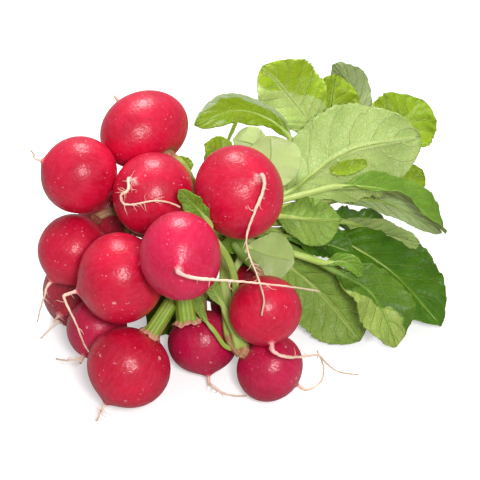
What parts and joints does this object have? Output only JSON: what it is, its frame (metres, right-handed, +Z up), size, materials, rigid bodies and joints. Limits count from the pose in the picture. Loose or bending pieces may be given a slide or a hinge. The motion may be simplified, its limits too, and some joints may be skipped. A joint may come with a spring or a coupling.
{
  "type": "bunch of radishes",
  "caption": "Bunch of round red radishes with taproots and leafy tops, held by an elastic band round the leaf stalks and lying on its side.",
  "frame": {"origin": "on the surface that the bunch lies on, under the middle of its box", "axes": "+Z up, +X from the pile of bulbs towards the leaf tips, -Y towards the side that shows the most bulbs"},
  "size_m": [0.1893, 0.1862, 0.1047],
  "materials": {
    "red_skin": "satin",
    "pale_root": "matte",
    "leaf_green": "satin",
    "band_rubber": "matte"
  },
  "bodies": {
    "root": {"radish_01": "red_skin", "radish_02": "red_skin", "radish_03": "red_skin", "radish_04": "red_skin", "radish_05": "red_skin", "radish_06": "red_skin", "radish_07": "red_skin", "radish_08": "red_skin", "radish_09": "red_skin", "radish_10": "red_skin", "radish_11": "red_skin", "radish_12": "red_skin", "radish_13": "red_skin", "radish_14": "red_skin", "radish_15": "red_skin", "radish_16": "red_skin", "taproot_01": "pale_root", "taproot_02": "pale_root", "taproot_03": "pale_root", "taproot_04": "pale_root", "taproot_05": "pale_root", "taproot_06": "pale_root", "taproot_07": "pale_root", "taproot_08": "pale_root", "taproot_09": "pale_root", "taproot_10": "pale_root", "taproot_11": "pale_root", "taproot_12": "pale_root", "taproot_13": "pale_root", "taproot_14": "pale_root", "taproot_15": "pale_root", "taproot_16": "pale_root", "leaves_01": "leaf_green", "leaves_02": "leaf_green", "leaves_03": "leaf_green", "leaves_04": "leaf_green", "leaves_05": "leaf_green", "leaves_06": "leaf_green", "leaves_07": "leaf_green", "leaves_08": "leaf_green", "leaves_09": "leaf_green", "leaves_10": "leaf_green", "leaves_11": "leaf_green", "leaves_12": "leaf_green", "leaves_13": "leaf_green", "leaves_14": "leaf_green", "leaves_15": "leaf_green", "leaves_16": "leaf_green", "rubber_band": "band_rubber"}
  },
  "joints": []
}
